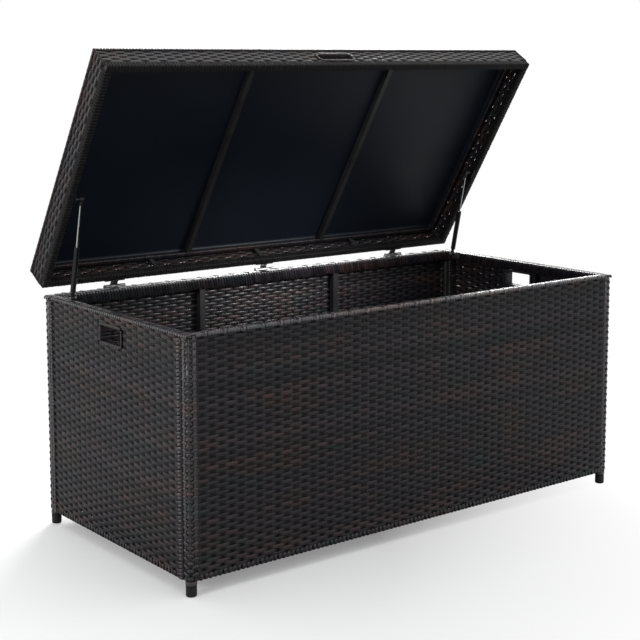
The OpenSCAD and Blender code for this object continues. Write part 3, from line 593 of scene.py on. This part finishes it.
# a strand laid along the rim's outer edge and the slanting ties that hold it down
def tiedEdge(name, start, axis, inward, length):
    look = edgeTie
    start, axis, inward = (np.array(v, float) for v in (start, axis, inward))
    up = np.array([0, 0, 1.0])
    ties = max(2, round(length / look["step"]))
    step = length / ties
    run = roundedRun([(-0.0006, -look["drop"]), (-0.0006, 0.0002), (look["reach"], 0.0002)], [0.005], side=-1)
    wraps = windAlong(start, axis, inward, up, run, length, step, look["slant"], look["jitter"])
    wraps = [(points + outs * look["rise"], outs) for points, outs in wraps]
    addStrands(name + "RimTies", wraps, "box", tiePaintedHighlightMaterial, width=look["width"], thick=look["thick"])
    u = np.linspace(0, length, ties * 6 + 1)
    lift = look["edgeRise"] * np.abs(np.sin(np.pi * (u / step - 0.5))) ** 0.6 - look["edgeSink"]
    lean = unit(up - inward * look["edgeLean"])
    strands = []
    for inset, low, out in ((0.0030, 0.0018, lean), (0.0120, 0.0, up)):
        strands.append(start + u[:, None] * axis + inward * inset - up * low + lift[:, None] * out)
    outs = np.stack([np.broadcast_to(lean, strands[0].shape), np.broadcast_to(up, strands[1].shape)])
    edge = [(np.array(strands), outs)]
    addStrands(name + "RimEdge", edge, "box", tiePaintedHighlightMaterial, width=look["edgeWidth"])


def longWall(name, y, inward):
    box = wallBox
    length = 2 * box["longHalf"]
    origin = (-box["longHalf"], y, box["gap"] + foldLook["panelLift"])
    size = (length, box["rim"] - box["gap"] - foldLook["panelShort"])
    rows, stakes = weavePanel(origin, (1, 0, 0), (0, 0, 1), (0, -inward, 0), size)
    addStrands(name + "Rows", rows, "box", stands=(name + "_weave",))
    under = windAlong((-box["longHalf"], y, box["gap"]), (1, 0, 0), (0, inward, 0), (0, 0, 1),
                      footRun(box["wall"]), length, strandSize["stakePitch"] / 2)
    addStakes(name + "Stakes", stakes, "box")
    addStrands(name + "BottomFold", under, "box", **turnSize)
    fold = windAlong((-box["longHalf"], y, box["rim"]), (1, 0, 0), (0, inward, 0), (0, 0, 1),
                     rimRun(foldLook["outerDrop"], box["rimDeep"], box["wall"]), length, foldLook["pitch"],
                     foldLook["topSlant"], foldLook["jitter"])
    addStrands(name + "RimFold", fold, "box", rimPaintedLightMaterial, stands=(name + "_rim",), **turnSize)
    tiedEdge(name, (-box["longHalf"], y, box["rim"]), (1, 0, 0), (0, inward, 0), length)


def endWall(name, x, inward):
    box = wallBox
    length = box["endBack"] - box["endFront"]
    origin = (x, box["endFront"], box["gap"] + foldLook["panelLift"])
    size = (length, box["rim"] - box["gap"] - foldLook["panelShort"])
    hole = (holeLow[1] - box["endFront"] - 0.001, holeHigh[1] - box["endFront"] + 0.001,
            holeLow[2] - origin[2] - 0.001, holeHigh[2] - origin[2] + 0.001)
    rows, stakes = weavePanel(origin, (0, 1, 0), (0, 0, 1), (-inward, 0, 0), size, hole,
                              sway=strandSize["looseSway"])
    addStrands(name + "Rows", rows, "box", stands=(name + "_weave",), width=strandSize["looseWidth"])
    under = windAlong((x, box["endFront"], box["gap"]), (0, 1, 0), (inward, 0, 0), (0, 0, 1),
                      footRun(box["wall"]), length, strandSize["stakePitch"] / 2)
    addStakes(name + "Stakes", stakes, "box")
    addStrands(name + "BottomFold", under, "box", **turnSize)
    fold = windAlong((x, box["endFront"], box["rim"]), (0, 1, 0), (inward, 0, 0), (0, 0, 1),
                     rimRun(foldLook["outerDrop"], box["rimDeep"], box["wall"]), length,
                     foldLook["pitch"] * foldLook["endPitch"], foldLook["endSlant"], foldLook["endJitter"])
    addStrands(name + "RimFold", fold, "box", rimPaintedLightMaterial, stands=(name + "_rim",), **turnSize)
    # strands turned round the panel's upright edges, beside the seam
    t = strandSize["thick"] / 2
    inner = box["wall"] - 0.004
    turned = roundedRun([(-t, 0.011), (-t, t), (inner, t), (inner, 0.010)], [0.003, 0.003], side=1)
    edges, seam = [], foldLook["seam"]
    for y, way in ((box["endFront"], 1), (box["endBack"], -1)):
        edges += windAlong((x, y + way * seam, box["gap"] + 0.002), (0, 0, 1), (inward, 0, 0), (0, way, 0),
                           turned, size[1] - 0.002, strandSize["rowPitch"], foldLook["sideTurn"])
    addStrands(name + "EdgeTurns", edges, "box", rimPaintedLightMaterial,
               width=foldLook["sideWidth"], thick=foldLook["sideThick"])


# a rounded rectangle, or a stadium, walked at even steps, with normals into it
def roundLoop(centre, a, b, halfA, halfB, radius, step):
    corners = []
    for sa, sb, start in ((1, 1, 0), (-1, 1, 90), (-1, -1, 180), (1, -1, 270)):
        for angle in np.radians(start + np.linspace(0, 90, 9)):
            corners.append((sa * (halfA - radius) + radius * math.cos(angle),
                            sb * (halfB - radius) + radius * math.sin(angle)))
    corners.append(corners[0])
    corners = np.array(corners)
    run = np.concatenate([[0], np.cumsum(np.linalg.norm(np.diff(corners, axis=0), axis=1))])
    count = round(run[-1] / step)
    at = (np.arange(count) + 0.5) * run[-1] / count
    p = np.stack([np.interp(at, run, corners[:, 0]), np.interp(at, run, corners[:, 1])], -1)
    further = (at + 0.001) % run[-1]
    ahead = np.stack([np.interp(further, run, corners[:, 0]), np.interp(further, run, corners[:, 1])], -1)
    t = unit(ahead - p)
    inward = np.stack([-t[:, 1], t[:, 0]], -1)
    centre, a, b = (np.array(v, float) for v in (centre, a, b))
    return centre + p[:, :1] * a + p[:, 1:] * b, inward[:, :1] * a + inward[:, 1:] * b


handLook = dict(surround=0.004, radius=0.006, pitch=0.0088, cover=0.007, proud=0.0007)


def handHole(name, x, outward):
    low, high = holeLow, holeHigh
    half = (high - low) / 2 - handLook["surround"] + handLook["proud"]
    centre = (x + outward * handLook["proud"], (low[1] + high[1]) / 2, (low[2] + high[2]) / 2)
    loop = roundLoop(centre, (0, 1, 0), (0, 0, 1), half[1], half[2], handLook["radius"], handLook["pitch"])
    turns = windRound(loop, (outward, 0, 0), wallBox["wall"] + 0.001, handLook["cover"])
    addStrands(name + "HandHole", turns, "box", stands=(name + "_hand_hole",))


braidLook = dict(rows=0.0095, zig=0.0036, swing=0.0017, width=0.0072, radius=0.012, seam=0.0026, sink=0.0019,
                 samples=25, crossings=3, flatness=1.3, collarSamples=49, collarTurns=2)


# five upright strands round a leg, with short strands crossing them in a chain of chevrons
def cornerBraid(sx, sy):
    box, look = wallBox, braidLook
    wall = box["wall"]
    x1, y1 = box["width"] / 2, (box["back"] if sy > 0 else box["front"])
    middle = np.array([sx * x1, y1])
    plan = roundedRun([(0.0, wall - look["seam"]), (0.0, 0.0), (wall, 0.0)], [look["radius"]], steps=6)
    run = np.concatenate([[0], np.cumsum(np.linalg.norm(np.diff(plan[0], axis=0), axis=1))])
    samples = look["samples"]
    at = np.linspace(0, run[-1], samples)
    inX = np.interp(at, run, plan[0][:, 0])
    inY = np.interp(at, run, plan[0][:, 1])
    nx = np.interp(at, run, plan[1][:, 0])
    ny = np.interp(at, run, plan[1][:, 1])
    if nx[0] > 0:
        nx, ny = -nx, -ny
    outs = unit(np.stack([-nx * sx, -ny * sy, 0 * nx], -1))
    base = np.stack([middle[0] - sx * inX, middle[1] - sy * inY], -1)
    phase = np.cos(np.pi * (at / run[-1] * look["crossings"] - 0.5))
    wave = np.clip(look["flatness"] * phase, -1, 1)
    rows = round((box["rim"] - box["gap"] - 0.004) / look["rows"])
    lines = []
    for r in range(rows):
        z = box["gap"] + 0.003 + (r + 0.5) * look["rows"]
        sign = 1 if r % 2 else -1
        w = wave * sign * look["swing"] - look["sink"]
        zig = look["zig"] * np.sin(np.pi * at / run[-1] * look["crossings"]) * sign
        lines.append(np.concatenate([base, (z + zig)[:, None]], 1) + outs * w[:, None])
    lines = np.array(lines)
    signs = np.where(np.arange(rows) % 2, 1, -1)
    groups = [(lines, np.broadcast_to(outs, lines.shape), wave * signs[:, None])]
    for share in (2 / 24, 4 / 24, 0.5, 20 / 24, 22 / 24):
        k = round(share * (samples - 1))
        z = np.linspace(box["gap"] + 0.002, box["rim"] - 0.003, 5)
        foot = base[k] - outs[k][:2] * look["sink"]
        upright = np.concatenate([np.repeat(foot[None], 5, 0), z[:, None]], 1)
        groups.append((upright[None], np.broadcast_to(outs[k], (1, 5, 3))))
    # the collar under the panel, two slanting turns round the leg
    leg = middle - np.array([sx, sy]) * wall / 2
    around = look["collarSamples"]
    angle = np.linspace(0, 2 * look["collarTurns"] * np.pi, around)
    radial = np.stack([np.cos(angle), np.sin(angle), 0 * angle], -1)
    z = np.linspace(box["collarLow"] + 0.003, box["gap"] - 0.001, around)
    collar = np.concatenate([np.repeat(leg[None], around, 0), z[:, None]], 1) + radial * (wall / 2 - 0.0007)
    groups.append((collar[None], radial[None]))
    # strands folded over the top of the leg
    cap = windAlong((sx * x1, y1, box["rim"]), (0, -sy, 0), (-sx, 0, 0), (0, 0, 1),
                    rimRun(0.009, 0.016, wall), wall, 0.0090, 0.004)
    return groups + cap


longWall("front", wallBox["front"], 1)
longWall("back", wallBox["back"], -1)
endWall("left", -wallBox["width"] / 2, 1)
endWall("right", wallBox["width"] / 2, -1)
handHole("left", -wallBox["width"] / 2, -1)
handHole("right", wallBox["width"] / 2, 1)
braids = sum([cornerBraid(sx, sy) for sx in (-1, 1) for sy in (-1, 1)], [])
addStrands("cornerBraids", braids, "box", rimPaintedLightMaterial, stands=("corner_wraps",), width=braidLook["width"])
print("box woven")


lidLow, lidHigh = nodeBox("lid_top_weave", True)
bindLow, bindHigh = nodeBox("lid_binding", True)
innerLow, innerHigh = nodeBox("lid_liner", True)
gripLow, gripHigh = nodeBox("lid_grip", True)
lidBox = dict(width=lidHigh[0] * 2, front=lidLow[1], back=lidHigh[1], top=lidHigh[2], low=bindLow[2],
              bind=bindHigh[2] - bindLow[2])
lidLook = dict(edgePitch=0.0094, edgeReach=0.010, edgeSlant=0.006, edgeWidth=0.0088,
               bindPitch=0.0091, bindSlant=0.002, bindRadius=0.003, jitter=0.00012)


def lidTop():
    box = lidBox
    size = (box["width"] - 0.004, box["back"] - box["front"] - 0.004)
    origin = (-size[0] / 2, box["front"] + 0.002, box["top"])
    for half, share in (("Front", (0.0, 0.5)), ("Back", (0.5, 1.0))):
        rows, stakes = weavePanel(origin, (1, 0, 0), (0, 1, 0), (0, 0, 1), size, rowRange=share)
        stands = ("lid_top_weave",) if half == "Front" else ()
        addStrands("lidTopRows" + half, rows, "lid", stands=stands, place=openLid)
    addStakes("lidTopStakes", stakes, "lid", openLid)


def lidSide(name, origin, across, out, length, hole=None, loose=False):
    box = lidBox
    low = box["low"] + box["bind"] - 0.001
    size = (length, box["top"] - low - 0.003)
    start = (origin[0], origin[1], low)
    sway = strandSize["looseSway"] if loose else strandSize["sway"]
    rows, stakes = weavePanel(start, across, (0, 0, 1), out, size, hole, sway=sway)
    addStrands("lid" + name + "Rows", rows, "lid", stands=("lid_" + name.lower() + "_weave",), place=openLid,
               width=strandSize["looseWidth"] if loose else strandSize["width"])
    t = strandSize["thick"] / 2
    inward = -np.array(out, float)
    reach = lidLook["edgeReach"]
    over = roundedRun([(-t, -reach), (-t, t * 0.5), (reach, t * 0.5)], [0.006], side=-1)
    fold = windAlong((origin[0], origin[1], box["top"]), across, inward, (0, 0, 1), over,
                     length, lidLook["edgePitch"], lidLook["edgeSlant"])
    addStakes("lid" + name + "Stakes", stakes, "lid", openLid)
    addStrands("lid" + name + "EdgeFold", fold, "lid", place=openLid, width=lidLook["edgeWidth"])


# strands wound right round the lower tube of the lid
def lidBinding():
    box = lidBox
    w, t = box["bind"], strandSize["thick"] / 2
    square = [(w / 2, w - t), (t, w - t), (t, t), (w - t, t), (w - t, w - t), (w / 2 - 0.002, w - t)]
    loop = roundedRun(square, [lidLook["bindRadius"]] * 4, side=-1)
    half, depth = box["width"] / 2, box["back"] - box["front"] - 2 * w
    sides = [
        ((-half, box["front"], box["low"]), (1, 0, 0), (0, 1, 0), box["width"]),
        ((-half, box["back"], box["low"]), (1, 0, 0), (0, -1, 0), box["width"]),
        ((-half, box["front"] + w, box["low"]), (0, 1, 0), (1, 0, 0), depth),
        ((half, box["front"] + w, box["low"]), (0, 1, 0), (-1, 0, 0), depth)]
    groups = []
    for origin, axis, inward, length in sides:
        groups += windAlong(origin, axis, inward, (0, 0, 1), loop, length, lidLook["bindPitch"],
                            lidLook["bindSlant"], lidLook["jitter"])
    addStrands("lidBinding", groups, "lid", stands=("lid_binding",), place=openLid, **turnSize)
    # the same winding along the inner lower edge of the upper tube, where the liner is turned in
    ring = []
    ringLow = innerLow[2]
    edge = roundedRun([(-0.014, -0.0008), (0.0008, -0.0008), (0.0008, 0.007)], [0.002], side=1)
    wide, deep = innerHigh[0] - innerLow[0], innerHigh[1] - innerLow[1]
    for origin, axis, inward, length in (
            ((innerLow[0], innerLow[1], ringLow), (1, 0, 0), (0, 1, 0), wide),
            ((innerLow[0], innerHigh[1], ringLow), (1, 0, 0), (0, -1, 0), wide),
            ((innerLow[0], innerLow[1], ringLow), (0, 1, 0), (1, 0, 0), deep),
            ((innerHigh[0], innerLow[1], ringLow), (0, 1, 0), (-1, 0, 0), deep)):
        ring += windAlong(origin, axis, inward, (0, 0, 1), edge, length,
                          lidLook["bindPitch"], lidLook["bindSlant"])
    addStrands("lidUpperTubeTurns", ring, "lid", place=openLid)


gripLook = dict(surround=0.003, proud=0.0007, pitch=0.0085, cover=0.008)


def lidGrip():
    look = gripLook
    mid = (gripLow + gripHigh) / 2
    half = (gripHigh - gripLow) / 2 - look["surround"]
    centre = (mid[0], gripLow[1] - look["proud"], mid[2])
    loop = roundLoop(centre, (1, 0, 0), (0, 0, 1), half[0], half[2], half[2] - 0.0005, look["pitch"])
    turns = windRound(loop, (0, -1, 0), gripHigh[1] - gripLow[1], look["cover"])
    addStrands("lidGripTurns", turns, "lid", stands=("lid_grip",), place=openLid)


linerLook = dict(step=0.012, sag=0.0035, bays=3, pucker=0.0006, puckers=58, puckerReach=0.03, below=0.0012)


# even steps over the middle of the cloth, with three short ones down each turned edge
def linerSteps(length, drop):
    turned = np.linspace(0, drop, 4)
    middle = np.linspace(0, length, round(length / linerLook["step"]))
    return np.concatenate([turned[:-1] - drop, middle, length + turned[1:]])


# cloth pulled over the two crossbars and turned down inside the upper tube
def lidLiner():
    look = linerLook
    width, depth = innerHigh[0] - innerLow[0], innerHigh[1] - innerLow[1]
    drop = innerHigh[2] - innerLow[2] - 0.001
    flat = (width + 2 * drop, depth + 2 * drop)
    across, back = linerSteps(width, drop), linerSteps(depth, drop)
    u, v = np.meshgrid(across, back, indexing="ij")
    x, y = np.clip(u, 0, width), np.clip(v, 0, depth)
    fallU = np.maximum(np.maximum(-u, u - width), 0)
    fallV = np.maximum(np.maximum(-v, v - depth), 0)
    bay = np.abs(np.sin(np.pi * np.clip(x / width, 0, 1) * look["bays"]))
    sag = look["sag"] * bay * np.sqrt(np.clip(np.sin(np.pi * y / depth), 0, 1))
    edge = np.exp(-np.minimum(np.minimum(x, width - x), np.minimum(y, depth - y)) / look["puckerReach"])
    ripple = np.cos(x / width * np.pi * 2 * look["puckers"]) + np.cos(y / depth * np.pi * look["puckers"])
    pucker = look["pucker"] * edge * ripple
    z = innerHigh[2] - look["below"] - fallU - fallV - sag - pucker
    grid = np.stack([innerLow[0] + x, innerLow[1] + y, z], -1)
    rows, cols = grid.shape[:2]
    index = np.arange(rows * cols).reshape(rows, cols)
    inFlap = (fallU > 0) & (fallV > 0)
    faces, uvs = [], []
    for i in range(rows - 1):
        for j in range(cols - 1):
            quad = [(i, j), (i, j + 1), (i + 1, j + 1), (i + 1, j)]
            if not any(inFlap[q] for q in quad):
                faces.append([index[q] for q in quad])
                uvs += [((across[a] + drop) / flat[0], (back[b] + drop) / flat[1]) for a, b in quad]
    used = sorted({k for f in faces for k in f})
    renumber = {k: n for n, k in enumerate(used)}
    mesh = bpy.data.meshes.new("lidLinerCloth")
    mesh.from_pydata(openLid(grid.reshape(-1, 3)[used]), [], [[renumber[k] for k in f] for f in faces])
    mesh.shade_smooth()
    mesh.uv_layers.new(name="OFBake").data.foreach_set("uv", np.array(uvs, np.float32).ravel())
    cloth = addPiece("lidLinerCloth", mesh, linerMaterial, "lid", ("lid_liner",))
    print("liner cut to", round(flat[0], 4), "by", round(flat[1], 4), "m")


lidTop()
halfLid = lidBox["width"] / 2
gripHole = (gripLow[0] + halfLid, gripHigh[0] + halfLid,
            gripLow[2] - lidBox["low"] - lidBox["bind"] + 0.001,
            gripHigh[2] - lidBox["low"] - lidBox["bind"] + 0.001)
lidDepth = lidBox["back"] - lidBox["front"]
lidSide("Front", (-halfLid, lidBox["front"]), (1, 0, 0), (0, -1, 0), lidBox["width"], gripHole)
lidSide("Back", (-halfLid, lidBox["back"]), (1, 0, 0), (0, 1, 0), lidBox["width"])
lidSide("Left", (-halfLid, lidBox["front"]), (0, 1, 0), (-1, 0, 0), lidDepth)
lidSide("Right", (halfLid, lidBox["front"]), (0, 1, 0), (1, 0, 0), lidDepth, loose=True)
lidBinding()
lidGrip()
lidLiner()
print("lid woven")


stageLook = dict(floorColour=0.85, fadeStart=0.75, fadeEnd=1.6, fadeFrom=(-0.80, -0.05, 0.0), glow=0.24,
                 floorSize=40.0, bounce=0.45, worldFront=0.16, worldBehind=1.15, worldAbove=0.75,
                 behind=(0.25, 0.96, -0.12), above=(0.30, -0.55, 0.78))


def makeStage():
    mesh = bpy.data.meshes.new("floorPlane")
    s = stageLook["floorSize"]
    mesh.from_pydata([(-s, -s, 0), (s, -s, 0), (s, s, 0), (-s, s, 0)], [], [(0, 1, 2, 3)])
    floor = bpy.data.objects.new("floorPlane", mesh)
    bpy.context.scene.collection.objects.link(floor)
    floor.location.z = cadLow[2] - 0.0002
    material, tree, shader = newMaterial("paleFloor", Roughness=0.7, Specular_IOR_Level=0.15)
    where = addNode(tree, "TexCoord").outputs["Object"]
    offset = doVector(tree, "SUBTRACT", where, stageLook["fadeFrom"])
    far = addNode(tree, "VectorMath", {"operation": "LENGTH"}, i0=offset.outputs[0]).outputs["Value"]
    # painted light: further from the box the floor turns to a plain white glow over its shadow
    fade = fitRange(tree, far, stageLook["fadeStart"], stageLook["fadeEnd"])
    shade = stageLook["floorColour"]
    speck = makeNoise(tree, where, 3.0, 2.0)
    colour = mixColour(tree, speck, (shade, shade, shade, 1), (shade * 0.97, shade * 0.98, shade * 0.99, 1))
    plug(tree, colour, shader.inputs["Base Color"])
    shader.inputs["Emission Color"].default_value = (1, 1, 1, 1)
    shader.inputs["Emission Strength"].default_value = stageLook["glow"]
    glow = addNode(tree, "Emission", None, Color=(1, 1, 1, 1), Strength=1.0)
    both = addNode(tree, "MixShader", None, i0=fade, i1=shader.outputs[0], i2=glow.outputs[0])
    # a white floor would light the weave from below, so it throws back less than the camera sees
    bounce = stageLook["bounce"]
    dull = addNode(tree, "BsdfDiffuse", None, Color=(bounce, bounce, bounce, 1))
    seen = addNode(tree, "LightPath").outputs["Is Camera Ray"]
    floorShade = addNode(tree, "MixShader", None, i0=seen, i1=dull.outputs[0], i2=both.outputs[0])
    plug(tree, floorShade.outputs[0], tree.nodes["Material Output"].inputs["Surface"])
    mesh.materials.append(material)


def makeBackdrop():
    world = bpy.data.worlds.new("studio")
    bpy.context.scene.world = world
    world.use_nodes = True
    # seen straight on the backdrop is white, and it lights the box more softly
    sky = world.node_tree
    rays = addNode(sky, "LightPath")
    towards = addNode(sky, "TexCoord").outputs["Generated"]
    look = stageLook
    behind = doVector(sky, "DOT_PRODUCT", towards, look["behind"])
    lit = fitRange(sky, behind.outputs["Value"], -0.25, 0.75, look["worldFront"], look["worldBehind"])
    above = doVector(sky, "DOT_PRODUCT", towards, look["above"])
    fromAbove = fitRange(sky, above.outputs["Value"], 0.3, 0.95, 0.0, look["worldAbove"])
    lit = doMath(sky, "ADD", lit, fromAbove)
    strength = fitRange(sky, rays.outputs["Is Camera Ray"], 0.0, 1.0, lit, 1.0)
    background = sky.nodes["Background"]
    plug(sky, (1, 1, 1, 1), background.inputs["Color"])
    plug(sky, strength, background.inputs["Strength"])


def addLight(name, where, target, size, power, spread=180):
    data = bpy.data.lights.new(name, "AREA")
    data.size = size
    data.energy = power
    data.spread = math.radians(spread)
    light = bpy.data.objects.new(name, data)
    bpy.context.scene.collection.objects.link(light)
    light.location = where
    light.visible_camera = False
    light.rotation_euler = (Vector(target) - Vector(where)).to_track_quat("-Z", "Y").to_euler()


cameraLook = dict(lens=79.25, shift=-0.13, place=(-2.497, -3.130, 1.286), yaw=38.10, pitch=7.30)


def addCamera():
    data = bpy.data.cameras.new("camera")
    data.lens = cameraLook["lens"]
    data.sensor_width = 36.0
    data.shift_y = cameraLook["shift"]
    data.dof.use_dof = False
    camera = bpy.data.objects.new("camera", data)
    bpy.context.scene.collection.objects.link(camera)
    camera.location = cameraLook["place"]
    camera.rotation_euler = (math.radians(90 - cameraLook["pitch"]), 0, math.radians(-cameraLook["yaw"]))
    bpy.context.scene.camera = camera


makeStage()
makeBackdrop()
addLight("softBehind", (2.1, 2.6, 2.1), (0, 0, 0.6), 1.6, 120)
addLight("edgeLeft", (-3.6, -0.7, 1.5), (-0.5, 0, 0.4), 0.6, 30)
addLight("insideBack", (0.42, -0.36, 0.88), (-0.12, 0.33, 0.36), 0.2, 1.25, spread=80)
addCamera()
bpy.context.scene.view_settings.view_transform = "Standard"

print("scene ready")
